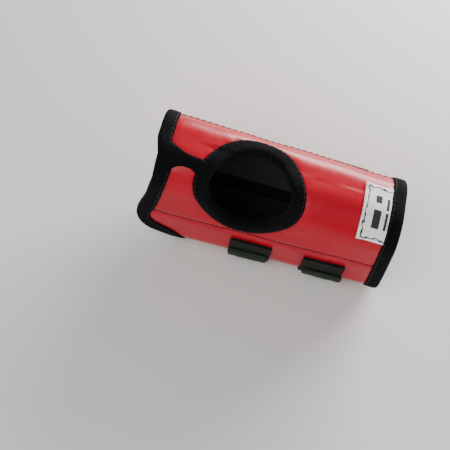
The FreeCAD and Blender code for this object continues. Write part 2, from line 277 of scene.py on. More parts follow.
# the covers run on under the seam, past where the tapes stop
sleeveCut = np.vstack([[edge["fingerX"], seamT - 8], sleeveEdge, [edge["rootX"], seamT - 8]])
flapCut = np.vstack([[edge["rootX"], seamT + lap + 6], flapEdge, [edge["fingerX"], seamT + lap + 6]])
turns = np.linspace(0, 2 * math.pi, 201)[:-1]
holeX = thumbHole["x"] + thumbHole["halfX"] * np.cos(turns)
holeW = thumbHole["w"] + thumbHole["raise"] + (thumbHole["halfW"] - thumbHole["raise"]) * np.sin(turns)
holeEdge = np.stack([holeX, tAtW(holeX, holeW)], -1)
holeEdge = resample(np.vstack([holeEdge, holeEdge[:1]]), 0.8)[:-1]
print("edges drawn:", len(sleeveEdge), len(flapEdge), len(holeEdge), "points")


def nearest(points, line, closed=False):
    # distance to a path, and how far along it
    a = line if closed else line[:-1]
    b = np.roll(line, -1, 0) if closed else line[1:]
    run = b - a
    size = np.maximum((run ** 2).sum(1), 1e-12)
    along = np.concatenate([[0], np.cumsum(np.sqrt(size))])[:-1]
    best, where = np.full(len(points), 1e9), np.zeros(len(points))
    for start in range(0, len(points), 4000):
        p = points[start:start + 4000]
        f = np.clip(((p[:, None] - a[None]) * run[None]).sum(2) / size[None], 0, 1)
        gap = np.linalg.norm(p[:, None] - (a[None] + f[..., None] * run[None]), axis=2)
        k = gap.argmin(1)
        rows = np.arange(len(p))
        best[start:start + 4000] = gap[rows, k]
        where[start:start + 4000] = along[k] + f[rows, k] * np.sqrt(size[k])
    return best, where


def within(points, loop):
    x, t = points[:, 0], points[:, 1]
    hit = np.zeros(len(points), bool)
    for (x0, t0), (x1, t1) in zip(loop, np.roll(loop, -1, 0)):
        crosses = (t0 > t) != (t1 > t)
        hit ^= crosses & (x < (x1 - x0) * (t - t0) / ((t1 - t0) or 1e-12) + x0)
    return hit


# materials

def startMaterial(name, colour, roughness, **values):
    mat = bpy.data.materials.new(name)
    mat.use_nodes = True
    shader = mat.node_tree.nodes["Principled BSDF"]
    shader.inputs["Base Color"].default_value = (*colour, 1)
    shader.inputs["Roughness"].default_value = roughness
    for key, value in values.items():
        shader.inputs[key.replace("_", " ")].default_value = value
    mat.diffuse_color = (*colour, 1)
    place3 = addNode(mat.node_tree, "ShaderNodeTexCoord").outputs["Object"]
    return mat, mat.node_tree, shader, place3


def addNode(tree, kind, inputs=None, **options):
    node = tree.nodes.new(kind)
    for key, value in options.items():
        setattr(node, key, value)
    for key, value in (inputs or {}).items():
        if isinstance(value, bpy.types.NodeSocket):
            tree.links.new(value, node.inputs[key])
        else:
            node.inputs[key].default_value = value
    return node


def noiseOf(tree, vector, scale, detail=3.0, roughness=0.55):
    made = addNode(tree, "ShaderNodeTexNoise", {"Vector": vector, "Scale": scale, "Detail": detail,
                                                "Roughness": roughness})
    return made.outputs["Fac"]


def paintRamp(tree, shader, value, stops):
    node = addNode(tree, "ShaderNodeValToRGB", {"Fac": value})
    ramp = node.color_ramp
    while len(ramp.elements) < len(stops):
        ramp.elements.new(0.5)
    for element, (at, colour) in zip(ramp.elements, stops):
        element.position = at
        element.color = (*colour, 1)
    tree.links.new(node.outputs["Color"], shader.inputs["Base Color"])


def mathOf(tree, operation, a, b=None):
    inputs = {0: a} if b is None else {0: a, 1: b}
    return addNode(tree, "ShaderNodeMath", inputs, operation=operation).outputs[0]


def bumpOf(tree, shader, height, strength, distance, under=None):
    inputs = {"Height": height, "Strength": strength, "Distance": distance}
    if under is not None:
        inputs["Normal"] = under
    node = addNode(tree, "ShaderNodeBump", inputs)
    tree.links.new(node.outputs["Normal"], shader.inputs["Normal"])
    return node.outputs["Normal"]


def vinylMaterial():
    mat, tree, shader, place3 = startMaterial("redVinyl", (0.50, 0.006, 0.022), 0.38, Coat_Weight=0.08,
                                              Coat_Roughness=0.22, Specular_IOR_Level=0.22)
    paintRamp(tree, shader, noiseOf(tree, place3, 38.0, 4.0),
              [(0.3, (0.46, 0.005, 0.019)), (0.55, (0.51, 0.006, 0.022)), (0.75, (0.54, 0.008, 0.027))])
    rub = noiseOf(tree, place3, 160.0, 5.0)
    rough = addNode(tree, "ShaderNodeMapRange", {"Value": rub, "From Min": 0.3, "From Max": 0.7,
                                                 "To Min": 0.28, "To Max": 0.38})
    tree.links.new(rough.outputs["Result"], shader.inputs["Roughness"])
    grain = addNode(tree, "ShaderNodeTexVoronoi", {"Vector": place3, "Scale": 1150.0}, feature="SMOOTH_F1")
    slack = bumpOf(tree, shader, noiseOf(tree, place3, 70.0, 2.0), 0.16, 0.0012)
    dimple = bumpOf(tree, shader, noiseOf(tree, place3, 420.0, 2.0), 0.10, 0.0003, slack)
    bumpOf(tree, shader, grain.outputs["Distance"], 0.10, 0.0001, dimple)
    return mat


def wavesOf(tree, across, along):
    # two sets of bands over the piece's own map; each is (scale, distortion, detail, detail scale)
    uv = addNode(tree, "ShaderNodeTexCoord").outputs["UV"]
    names = ("Scale", "Distortion", "Detail", "Detail Scale")
    for way, values in (("X", across), ("Y", along)):
        inputs = dict(zip(names, values), Vector=uv)
        yield addNode(tree, "ShaderNodeTexWave", inputs, bands_direction=way).outputs["Fac"]


def tapeMaterial():
    # ribbed fold-over tape; its map has u along the tape and v across, 10 mm to the unit
    mat, tree, shader, place3 = startMaterial("bindingTape", (0.004, 0.004, 0.005), 0.85, Sheen_Weight=0.02,
                                              Sheen_Roughness=0.4, Specular_IOR_Level=0.08)
    shader.inputs["Sheen Tint"].default_value = (0.62, 0.64, 0.74, 1)
    weave = mathOf(tree, "MULTIPLY", *wavesOf(tree, (3.4, 1.6, 2.0, 4.0), (2.6, 2.2, 2.0, 3.0)))
    fuzz = noiseOf(tree, place3, 1900.0, 4.0, 0.7)
    paintRamp(tree, shader, mathOf(tree, "ADD", weave, fuzz),
              [(0.35, (0.0012, 0.0012, 0.0015)), (0.9, (0.0034, 0.0036, 0.0046)),
               (1.0, (0.010, 0.0105, 0.014))])
    first = bumpOf(tree, shader, weave, 0.65, 0.00045)
    bumpOf(tree, shader, fuzz, 0.55, 0.00025, first)
    return mat


def webbingMaterial(name, dark, light, roughness):
    mat, tree, shader, place3 = startMaterial(name, light, roughness, Sheen_Weight=0.08, Sheen_Roughness=0.4,
                                              Specular_IOR_Level=0.2)
    shader.inputs["Sheen Tint"].default_value = (0.35, 0.7, 0.25, 1)
    weave = mathOf(tree, "MAXIMUM", *wavesOf(tree, (4.6, 0.7, 1.0), (4.0, 0.6, 1.0)))
    worn = noiseOf(tree, place3, 240.0, 4.0)
    paintRamp(tree, shader, mathOf(tree, "MULTIPLY", weave, worn), [(0.2, dark), (0.62, light)])
    bumpOf(tree, shader, weave, 0.8, 0.0004)
    return mat


def brushedMaterial(name, dark, light, sheen, scale):
    mat, tree, shader, place3 = startMaterial(name, light, 0.95, Sheen_Weight=sheen, Sheen_Roughness=0.5,
                                              Specular_IOR_Level=0.15)
    pile = noiseOf(tree, place3, scale, 5.0, 0.75)
    nap = noiseOf(tree, place3, scale / 9, 3.0)
    paintRamp(tree, shader, mathOf(tree, "MULTIPLY", pile, nap), [(0.12, dark), (0.42, light)])
    first = bumpOf(tree, shader, nap, 0.35, 0.0008)
    bumpOf(tree, shader, pile, 0.7, 0.0004, first)
    return mat


def metalMaterial(name, colour, roughness, scale, stretch):
    mat, tree, shader, place3 = startMaterial(name, colour, roughness, Metallic=1.0)
    drawn = addNode(tree, "ShaderNodeMapping", {"Vector": place3, "Scale": stretch}).outputs["Vector"]
    lines = noiseOf(tree, drawn, scale, 4.0)
    rough = addNode(tree, "ShaderNodeMapRange", {"Value": lines, "To Min": roughness - 0.1,
                                                 "To Max": roughness + 0.15})
    tree.links.new(rough.outputs["Result"], shader.inputs["Roughness"])
    paintRamp(tree, shader, lines, [(0.3, tuple(c * 0.8 for c in colour)), (0.7, colour)])
    bumpOf(tree, shader, lines, 0.15, 0.0001)
    return mat


def grainMaterial(name, colour, roughness, kind, inputs, stops, strength, distance, **values):
    # one texture gives both the colour and the bump
    mat, tree, shader, place3 = startMaterial(name, colour, roughness, **values)
    grain = addNode(tree, "ShaderNodeTex" + kind, {"Vector": place3, **inputs}).outputs[0]
    paintRamp(tree, shader, grain, stops)
    bumpOf(tree, shader, grain, strength, distance)
    return mat


labelPrint = {
    "size": (17.0, 37.2),           # what shows of the label, along the sleeve and around it
    "tucked": 6.0,                  # the rest of its width, under the binding
    "startT": -8.0,
    "inset": 2.3,                   # from the label's edge to the printed border
    "sway": 3.8,
    "line": 0.36,                   # half width of the border line
    "bars": [((9.4, 10.2), (1.9, 2.6)), ((9.4, 23.0), (2.4, 5.6)), ((15.4, 12.4), (0.8, 4.0)),
             ((15.4, 23.2), (0.8, 5.2))],
    "ink": (0.012, 0.012, 0.014),
    "cloth": (0.96, 0.96, 0.95),
}


def labelMaterial():
    # white cloth with a hand-drawn border and plain bars where a label has its words
    cloth = labelPrint["cloth"]
    mat, tree, shader, place3 = startMaterial("labelCloth", cloth, 0.7, Sheen_Weight=0.1)
    uv = addNode(tree, "ShaderNodeTexCoord").outputs["UV"]
    flat = addNode(tree, "ShaderNodeMapping", {"Vector": uv, "Scale": (10.0, 10.0, 1.0)}).outputs["Vector"]
    bent = addNode(tree, "ShaderNodeTexNoise", {"Vector": uv, "Scale": 2.9, "Detail": 0.6}).outputs["Color"]
    # a noise pushes the border about, so that it looks drawn by hand
    for operation, inputs in (("SUBTRACT", {1: (0.5, 0.5, 0.5)}), ("SCALE", {"Scale": labelPrint["sway"]}),
                              ("ADD", {1: flat})):
        bent = addNode(tree, "ShaderNodeVectorMath", {0: bent, **inputs}, operation=operation).outputs[0]
    bent, flat = [addNode(tree, "ShaderNodeSeparateXYZ", {0: at}).outputs for at in (bent, flat)]

    def box(source, centre, half):
        parts = []
        for k in (0, 1):
            off = mathOf(tree, "ABSOLUTE", mathOf(tree, "SUBTRACT", source[k], centre[k]))
            parts.append(mathOf(tree, "SUBTRACT", off, half[k]))
        return mathOf(tree, "MAXIMUM", *parts)

    width, height = labelPrint["size"]
    inset = labelPrint["inset"]
    reach = width + labelPrint["tucked"] - inset
    frameBox = box(bent, (inset + reach / 2, height / 2), (reach / 2, height / 2 - inset))
    ink = mathOf(tree, "LESS_THAN", mathOf(tree, "ABSOLUTE", frameBox), labelPrint["line"])
    for centre, half in labelPrint["bars"]:
        bar = mathOf(tree, "LESS_THAN", box(flat, centre, half), 0.0)
        ink = mathOf(tree, "MAXIMUM", ink, bar)
    fade = noiseOf(tree, place3, 2200.0, 3.0)
    solid = addNode(tree, "ShaderNodeMapRange", {"Value": fade, "From Min": 0.25, "From Max": 0.45,
                                                 "To Min": 0.9, "To Max": 1.0})
    ink = mathOf(tree, "MULTIPLY", ink, solid.outputs["Result"])
    mix = addNode(tree, "ShaderNodeMix", {"Factor": ink}, data_type="RGBA")
    for socket in mix.inputs:
        if socket.type == "RGBA":
            socket.default_value = (*cloth, 1) if socket.name == "A" else (*labelPrint["ink"], 1)
    result = next(socket for socket in mix.outputs if socket.type == "RGBA")
    tree.links.new(result, shader.inputs["Base Color"])
    weave = addNode(tree, "ShaderNodeTexWave", {"Vector": uv, "Scale": 12.0, "Distortion": 0.5},
                    bands_direction="X")
    bumpOf(tree, shader, weave.outputs["Fac"], 0.2, 0.0001)
    return mat


black = (0.006, 0.006, 0.007)
noise = {"Detail": 2.0, "Roughness": 0.55}
finish = {
    "vinyl": vinylMaterial(),
    "tape": tapeMaterial(),
    "strap": webbingMaterial("strapTape", (0.0012, 0.0036, 0.0007), (0.0050, 0.0185, 0.0028), 0.55),
    "loop": brushedMaterial("loopTape", (0.0015, 0.002, 0.0015), (0.007, 0.009, 0.006), 0.06, 1500.0),
    "lining": brushedMaterial("brushedLining", (0.004, 0.004, 0.0045), (0.016, 0.016, 0.018), 0.12, 1100.0),
    "hook": grainMaterial("hookTape", (0.02, 0.022, 0.02), 0.5, "Voronoi",
                          {"Scale": 900.0, "Randomness": 0.35},
                          [(0.1, (0.045, 0.05, 0.045)), (0.5, (0.012, 0.014, 0.012))], 0.9, 0.0006,
                          Specular_IOR_Level=0.5),
    "stay": metalMaterial("stayAluminium", (0.74, 0.75, 0.77), 0.32, 60.0, (1.0, 30.0, 30.0)),
    "weight": metalMaterial("weightSteel", (0.32, 0.32, 0.33), 0.5, 400.0, (1.0, 1.0, 1.0)),
    "foam": grainMaterial("foamSheet", (0.05, 0.05, 0.055), 0.9, "Voronoi", {"Scale": 1600.0},
                          [(0.1, (0.02, 0.02, 0.022)), (0.6, (0.07, 0.07, 0.075))], 0.5, 0.0003),
    "dip": grainMaterial("dippedVinyl", (0.02, 0.02, 0.021), 0.35, "Noise", {**noise, "Scale": 300.0},
                         [(0.3, (0.014, 0.014, 0.015)), (0.7, (0.028, 0.028, 0.03))], 0.2, 0.0004),
    "thread": grainMaterial("blackThread", black, 0.6, "Noise", {**noise, "Scale": 2600.0, "Detail": 3.0},
                            [(0.3, tuple(c * 0.55 for c in black)), (0.7, black)], 0.4, 0.0001,
                            Sheen_Weight=0.2),
    "label": labelMaterial(),
}
print("materials made:", len(finish))


# mesh helpers

def makeObject(name, verts, faces, mat, uv=None):
    mesh = bpy.data.meshes.new(name)
    mesh.from_pydata([tuple(v) for v in verts], [], [tuple(f) for f in faces])
    mesh.validate()
    mesh.materials.append(mat)
    if uv is not None:
        layer = mesh.uv_layers.new(name="UVMap")
        index = np.empty(len(mesh.loops), int)
        mesh.loops.foreach_get("vertex_index", index)
        layer.data.foreach_set("uv", np.asarray(uv, float)[index].ravel())
    mesh.polygons.foreach_set("use_smooth", [True] * len(mesh.polygons))
    obj = bpy.data.objects.new(name, mesh)
    bpy.context.scene.collection.objects.link(obj)
    return obj


def finishPiece(obj, slot, nodes, body=None, blend=None):
    # a piece is tidied and hung on one body's empty; one given a blend between two bodies is baked where it
    # stands, and the CAD nodes it replaces are hidden
    bm = bmesh.new()
    bm.from_mesh(obj.data)
    bmesh.ops.remove_doubles(bm, verts=bm.verts, dist=1e-6)
    bmesh.ops.recalc_face_normals(bm, faces=bm.faces)
    bm.to_mesh(obj.data)
    bm.free()
    if body:
        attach(obj, body)
    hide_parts(*nodes)
    if blend:
        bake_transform(obj)
    return obj


def sweep(name, rings, mat, closed, uv=None):
    # rings is path points by profile points; every profile is a closed loop
    count, size = rings.shape[:2]
    verts = rings.reshape(-1, 3)
    faces = []
    last = count if closed else count - 1
    for i in range(last):
        j = (i + 1) % count
        for k in range(size):
            m = (k + 1) % size
            faces.append((i * size + k, i * size + m, j * size + m, j * size + k))
    if not closed:
        faces.append(tuple(range(size)))
        faces.append(tuple((count - 1) * size + k for k in reversed(range(size))))
    return makeObject(name, verts, faces, mat, uv)


def jitter(values, seed, scale):
    # smooth uneven line, always the same for one seed
    wave = np.zeros(len(values))
    for k, (freq, share) in enumerate(((0.11, 0.5), (0.29, 0.3), (0.71, 0.2))):
        wave += share * np.sin(values * freq + seed * 1.7 + k * 2.3)
    return wave * scale


# binding

binding = {
    "rise": 1.05,                   # how far the tape stands above the cover
    "edgeWave": 0.22,
    "pucker": 0.07,
    "puckerPitch": 2.3,
}


def bindEdge(name, line, closed, width, wall, flip, seed):
    # tape folded over an edge; width may differ along it
    side = inwards(line, closed) * flip
    run = runAlong(line)
    width = np.broadcast_to(width, run.shape) + jitter(run, seed, binding["edgeWave"])
    h = binding["rise"]
    fold = binding["pucker"] * (np.sin(run / binding["puckerPitch"] * 2 * math.pi)
                                + 0.7 * np.sin(run / (binding["puckerPitch"] * 1.63) * 2 * math.pi + seed))
    # (share of the width, extra distance from the edge, share of the wall, height above that face, pucker)
    profile = [(1, 0.0, 0, -0.25, 0), (1, 0.03, 0, 0.30 * h, 0.4), (1, -0.22, 0, 0.66 * h, 0.8),
               (1, -0.75, 0, 0.90 * h, 1), (0.78, 0, 0, 1.02 * h, 1), (0.55, 0, 0, 1.12 * h, 1),
               (0.32, 0, 0, 1.16 * h, 1), (0, 1.1, 0, 1.08 * h, 1), (0, 0.3, 0, 0.86 * h, 1),
               (0, -0.4, 0, 0.42 * h, 0.6), (0, -0.9, 0, -0.35, 0.5), (0, -1.12, 0.3, -0.3, 0.4),
               (0, -1.16, 0.5, 0, 0.3), (0, -1.12, 0.7, 0.3, 0.4), (0, -0.9, 1, 0.35, 0.5),
               (0, -0.4, 1, -0.42 * h, 0.6), (0, 0.3, 1, -0.86 * h, 1), (0, 1.1, 1, -1.08 * h, 1),
               (0.45, 0, 1, -1.12 * h, 1), (0.8, 0, 1, -1.0 * h, 1), (1, -0.5, 1, -0.8 * h, 0.8),
               (1, 0, 1, -0.3 * h, 0.4), (1, 0, 1, 0.25, 0), (0, 0.6, 1, 0.3, 0), (0, 0.6, 0, -0.3, 0)]
    rings = np.zeros((len(line), len(profile), 3))
    for k, (share, extra, deep, height, puck) in enumerate(profile):
        a = share * width + extra
        d = -deep * wall + height + np.sign(height or 1) * fold * puck
        at = line + side * a[:, None]
        rings[:, k] = place(at[:, 0], at[:, 1], d)
    across = runAlong(rings[len(line) // 2] / mm)
    uv = np.stack(np.meshgrid(run / 10, across / 10, indexing="ij"), -1).reshape(-1, 2)
    return sweep(name, rings, finish["tape"], closed, uv)


def makeBindings():
    w = edge["bindW"]
    sleeveRun = resample(sleeveEdge, 0.8)
    obj = bindEdge("sleeveBinding", sleeveRun, False, w, tube["wall"], 1.0, 1.0)
    finishPiece(obj, "binding", ("finger_binding", "forearm_binding", "slit_binding"), "sleeve")
    # wider on the thumb side of the hole, narrower below it
    angle = np.arctan2((holeEdge[:, 1] - holeEdge[:, 1].mean()), holeEdge[:, 0] - thumbHole["x"])
    ringW = 8.2 - 3.4 * np.clip(np.sin(angle), 0, 1) ** 1.5 - 0.4 * np.clip(-np.sin(angle), 0, 1)
    side = inwards(holeEdge, True)
    flip = math.copysign(1, float(((holeEdge - holeEdge.mean(0)) * side).sum(1).mean()))
    obj = bindEdge("thumbBinding", holeEdge, True, ringW, tube["wall"], flip, 3.0)
    finishPiece(obj, "binding", ("thumb_binding",), "sleeve")
    flapRun = resample(flapEdge, 0.8)
    obj = bindEdge("flapBinding", flapRun, False, w, tube["backWall"], 1.0, 5.0)
    finishPiece(obj, "binding", ("back_flap_binding",), blend=seamBlend)
    return [(sleeveRun, 1.0, w, False), (holeEdge, flip, ringW, True)], (flapRun, 1.0, w, False)


seamJoint = next(j for j in frame["joints"] if j["name"] == "back_flap_open")
seamOut = Vector((0, math.cos(math.radians(edge["seamDeg"])), math.sin(math.radians(edge["seamDeg"]))))
seamDown = Vector(seamJoint["axis"]).normalized().cross(seamOut).normalized()
seamDown = -seamDown if seamDown.z > 0 else seamDown
seamPivot = Vector(seamJoint["pos_m"])
seamReach = seamDown * edge["seamTurn"] * mm
seamBlend = ("sleeve", "back_flap", seamPivot - seamReach, seamPivot + seamReach)


# web band between the finger edge and the thumb hole

webBand = {
    "rise": 1.35,
    "roll": 1.0,
    "across": 15,
    "along": 60,
    "upper": [(-74.0, 2.5), (-65.5, 6.8, 6.0), (-57.5, 10.6, 20.0), (-44.0, 11.0)],
    "lower": [(-74.0, 30.0), (-67.3, 34.0, 2.0), (-65.0, 18.2, 10.0), (-48.8, 18.0, 8.0), (-45.5, 30.0)],
}


def makeWebBand():
    s = webBand
    share = np.linspace(0, 1, s["along"])
    paths = [roundedPath(s[key], 0.3) for key in ("upper", "lower")]
    upper, lower = [pickAt(path, np.linspace(0, 1, len(path)), share) for path in paths]
    v = np.linspace(0, 1, s["across"])
    grid = upper[:, None] * (1 - v)[None, :, None] + lower[:, None] * v[None, :, None]
    size = np.linalg.norm(lower - upper, axis=1)[:, None]
    roll = np.clip(np.minimum(v, 1 - v)[None] * size / s["roll"], 0, 1)
    height = s["rise"] * (0.45 + 0.55 * np.sqrt(1 - (1 - roll) ** 2))
    along = runAlong((upper + lower) / 2)[:, None]
    height = height + 0.06 * np.sin(along * 2.8 + v[None] * 2)
    top = place(grid[..., 0], grid[..., 1], height)
    bottom = place(grid[..., 0], grid[..., 1], np.full(height.shape, -0.3))
    uv = np.stack([np.broadcast_to(along / 10, height.shape), v[None] * size / 10], -1)
    obj = closedSheet("webBinding", top, bottom, uv, finish["tape"])
    finishPiece(obj, "binding", ("web_binding",), "sleeve")


def closedSheet(name, top, bottom, uv, mat):
    rows, cols = top.shape[:2]
    verts = np.concatenate([top.reshape(-1, 3), bottom.reshape(-1, 3)])
    offset = rows * cols
    faces = []
    for i in range(rows - 1):
        for j in range(cols - 1):
            a, b, c, d = i * cols + j, i * cols + j + 1, (i + 1) * cols + j + 1, (i + 1) * cols + j
            faces.append((a, b, c, d))
            faces.append((offset + d, offset + c, offset + b, offset + a))
    rim = ([(0, j) for j in range(cols)] + [(i, cols - 1) for i in range(1, rows)]
           + [(rows - 1, j) for j in range(cols - 2, -1, -1)] + [(i, 0) for i in range(rows - 2, 0, -1)])
    for (i0, j0), (i1, j1) in zip(rim, rim[1:] + rim[:1]):
        a, b = i0 * cols + j0, i1 * cols + j1
        faces.append((b, a, offset + a, offset + b))
    both = np.concatenate([uv.reshape(-1, 2)] * 2)
    return makeObject(name, verts, faces, mat, both)


# covers, foam and linings

cloth = {
    "step": 1.2,                    # size of the covers' mesh
    "underTape": 3.0,               # a cover ends this far inside its edge
    "seamDip": 0.55,
    "seamWide": 1.5,
    "edgeDip": 0.35,
    "puckerRise": 0.13,
    "puckerPitch": 6.5,
    "backLift": 0.28,               # the flap's cover lies this much higher
}
channels = {"first": 33.2, "pitch": 9.4, "count": 4, "dip": 0.95, "wide": 1.5, "rise": 0.35,
            "end": 12, "fade": 5}


def rowDip(distance, wide):
    return np.exp(-(distance / wide) ** 2)


def edgeDip(toEdge):
    # the tapes press the cover down beside them
    beside = np.clip(toEdge - edge["bindW"], 0, None)
    return cloth["edgeDip"] * np.exp(-beside / 1.6), np.exp(-beside / 3.5)


def coverRelief(x, t, toEdge, along):
    # seams pull the cover in, and tapes pucker it beside them
    d = -cloth["seamDip"] * rowDip(t - palmSeam(x), cloth["seamWide"])
    dip, fade = edgeDip(toEdge)
    wave = np.sin(along / cloth["puckerPitch"] * 2 * math.pi) * np.sin(along / 17.0 + 1.0)
    return d - dip + cloth["puckerRise"] * wave * fade


def flapRelief(x, t, toEdge, along):
    c = channels
    z = tubeLine(x, t)[1]
    # no weight lies between the second pad and the forearm end, so the cover is flat there
    ends = np.clip(np.minimum(x - edge["fingerX"] - c["end"], straps["patchX"][1] - x) / c["fade"], 0, 1)
    for pad in straps["patchX"]:
        # the pads are sewn down flat over the channels
        beside = np.abs(x - pad) - straps["patchWidth"] / 2
        ends = ends * np.clip((beside - 0.5) / 4, 0.12, 1)
    d = np.zeros(x.shape)
    for i in range(c["count"]):
        d = d - c["dip"] * rowDip(z - c["first"] - i * c["pitch"], c["wide"]) * ends
    bump = np.cos((z - c["first"]) / c["pitch"] * 2 * math.pi)
    inside = np.clip((c["first"] + 3 * c["pitch"] + 4 - z) / 4, 0, 1)
    d = d - c["rise"] * bump * ends * inside - cloth["seamDip"] * rowDip(t - seamT - 2.4, 1.2)
    return d - edgeDip(toEdge)[0]


def innerRelief(x, t, toEdge, along):
    return 0.10 * np.sin(x / 6.0 + t / 9.0) * np.cos(t / 5.0 - x / 15.0)


def panelMesh(name, startT, endT, edges, relief, d, thick, mat):
    # a panel of cloth between two lines around the tube, cut to the edges it meets
    x = np.arange(edge["fingerX"] - 10, edge["forearmX"] + 4, cloth["step"])
    rows = int(np.max(np.abs(endT(x) - startT(x))) / cloth["step"]) + 1
    f = np.linspace(0, 1, rows)
    gx = np.broadcast_to(x[:, None], (len(x), rows))
    gt = startT(x)[:, None] * (1 - f)[None] + endT(x)[:, None] * f[None]
    pts = np.stack([gx.ravel(), gt.ravel()], -1)
    keep = np.ones(len(pts), bool)
    toEdge, along = np.full(len(pts), 1e9), np.zeros(len(pts))
    for line, closed, wanted in edges:
        gap, where = nearest(pts, line, closed)
        keep &= (within(pts, line) == wanted) & (gap > cloth["underTape"])
        closer = gap < toEdge
        toEdge, along = np.where(closer, gap, toEdge), np.where(closer, where, along)
    keep = keep.reshape(gx.shape)
    whole = keep[:-1, :-1] & keep[1:, :-1] & keep[1:, 1:] & keep[:-1, 1:]
    index = np.arange(len(pts)).reshape(gx.shape)
    quads = np.stack([index[:-1, :-1], index[1:, :-1], index[1:, 1:], index[:-1, 1:]], -1)[whole]
    used = np.unique(quads)
    # pull the cut rim onto a smooth line below the tape
    counts = np.zeros(len(pts), int)
    np.add.at(counts, quads.ravel(), 1)
    reach = cloth["underTape"] + 2.2 * cloth["step"]
    rim = used[(counts[used] < 4) & (toEdge[used] < reach)]
    for line, closed, _ in edges:
        gap, where = nearest(pts[rim], line, closed)
        loop = np.vstack([line, line[:1]]) if closed else line
        foot = pickAt(loop, runAlong(loop), where)
        close = gap < reach
        moved = foot + (pts[rim] - foot) * (cloth["underTape"] / np.maximum(gap, 1e-6))[:, None]
        pts[rim[close]] = moved[close]
    lower = np.full(len(pts), -1)
    lower[used] = np.arange(len(used))
    px, pt = pts[used, 0], pts[used, 1]
    rise = relief(px, pt, toEdge[used], along[used])
    outer = place(px, pt, d + rise)
    inner = place(px, pt, d + rise * 0.5 - thick)
    quads = lower[quads]
    size = len(used)
    faces = [tuple(q) for q in quads] + [tuple(q[::-1] + size) for q in quads]
    sides = [(a, b) for q in quads for a, b in zip(q, np.roll(q, -1))]
    known = set(sides)
    faces += [(b, a, a + size, b + size) for a, b in sides if (b, a) not in known]
    uv = np.stack([px, pt], -1) / 10
    return makeObject(name, np.concatenate([outer, inner]), faces, mat, np.concatenate([uv, uv]))


def level(t):
    return lambda x: 0 * x + t


def makeCovers():
    rootEdges = [(sleeveCut, False, True), (holeEdge, True, False)]
    flapEdges = [(flapCut, False, True)]
    wall, back, cover, lining = (tube[key] for key in ("wall", "backWall", "cover", "lining"))
    thin = cover - 0.1
    # slot and look, relief, outer face, thickness, gap to the flap's seam
    layers = {"Cover": ("red_vinyl", "vinyl", coverRelief, 0.0, thin, 1.0),
              "Lining": ("lining", "lining", innerRelief, lining - wall, lining, 4.0),
              "Foam": ("foam", "foam", innerRelief, -cover, wall - cover - lining - 0.1, 1.0)}
    for layer, (slot, look, relief, d, thick, gap) in layers.items():
        sides = {"thumb": (level(seamT + gap), palmSeam), "palm": (palmSeam, level(slitLowT))}
        for side, (startT, endT) in sides.items():
            obj = panelMesh(side + layer, startT, endT, rootEdges, relief, d, thick, finish[look])
            finishPiece(obj, slot, (side + "_" + layer.lower(),), "sleeve")
    obj = panelMesh("backCover", level(slitHighT), level(seamT + 4.4), flapEdges, flapRelief,
                    cloth["backLift"], thin, finish["vinyl"])
    finishPiece(obj, "red_vinyl", ("back_cover",), blend=seamBlend)
    obj = panelMesh("backLining", level(slitHighT), level(seamT + 5.5), flapEdges, innerRelief,
                    lining - back, lining, finish["lining"])
    finishPiece(obj, "lining", ("back_lining",), blend=seamBlend)


# straps, patches and pads

def middleX(name):
    return [float(sum(corner[0] for corner in boxOf(name % i)) / 2) for i in (1, 2)]


straps = {
    "x": middleX("strap_%d_base"),
    "patchX": middleX("strap_%d_patch"),
    "topZ": [boxOf("strap_%d_base" % i)[1][2] for i in (1, 2)],
    "width": 25.4,
    "patchWidth": 27.5,
    "patchTopZ": 32.0,
    "low": 2.2,                     # inner face above the cover
    "thick": 1.4,
    "foldDeg": 50.0,
    "foldReach": 2.6,               # a strap's blend span reaches this far on each side of its fold
    "tipZ": boxOf("strap_1_tip")[0][2],
    "endZ": boxOf("strap_1_tip")[1][2],
    "padLowZ": boxOf("loop_pad_1")[0][2],
    "padHighZ": boxOf("loop_pad_1")[1][2],
}


def strapMarks(i):
    # where the ends of a strap, its patch and its pad lie around the tube
    s = straps
    wanted = {"top": ("x", s["topZ"][i], "palm"), "tip": ("x", s["tipZ"], "back"),
              "end": ("x", s["endZ"], "back"), "patch": ("patchX", s["patchTopZ"], "palm"),
              "padLow": ("patchX", s["padLowZ"], "back"), "padHigh": ("patchX", s["padHighZ"], "back")}
    return {key: float(tAtZ(s[x][i], z, side)) for key, (x, z, side) in wanted.items()}


def slab(name, xMid, width, t0, t1, low, high, mat, corners, roll):
    # flat tape laid on the tube, with rounded corners and rolled edges
    along = np.linspace(t0, t1, max(4, int(abs(t1 - t0))) + 1)
    fine = np.array([0.0, 0.12, 0.3, 0.6, 1.0])
    along = np.unique(np.concatenate([along, t0 + fine, t1 - fine]))
    across = np.concatenate([fine, np.linspace(1.9, width - 1.9, 21), width - fine[::-1]])
    across = across / width - 0.5
    half = np.full(len(along), width / 2)
    for distance, r in ((along - t0, corners[0]), (t1 - along, corners[1])):
        if r > 0:
            c = np.clip(distance, 0, r)
            half = np.minimum(half, width / 2 - r + np.sqrt(np.maximum(r * r - (r - c) ** 2, 0)))
    gx = across[None] * 2 * half[:, None]
    ends = np.minimum(np.where(corners[0] > 0, along - t0, 9.0), np.where(corners[1] > 0, t1 - along, 9.0))
    near = np.minimum(half[:, None] - np.abs(gx), ends[:, None])
    bend = np.clip(near / roll, 0, 1)
    fall = roll * (1 - np.sqrt(1 - (1 - bend) ** 2))
    gt = np.broadcast_to(along[:, None], gx.shape)
    ripple = 0.04 * np.sin(gt / 3.1 + xMid) * np.cos(gx / 4.0) - 0.05
    top = place(xMid + gx, gt, high - fall + ripple * (bend >= 1))
    bottom = place(xMid + gx, gt, low + np.minimum(fall, (high - low) * 0.4))
    uv = np.stack([gx, gt], -1) / 10
    return closedSheet(name, top, bottom, uv, mat)


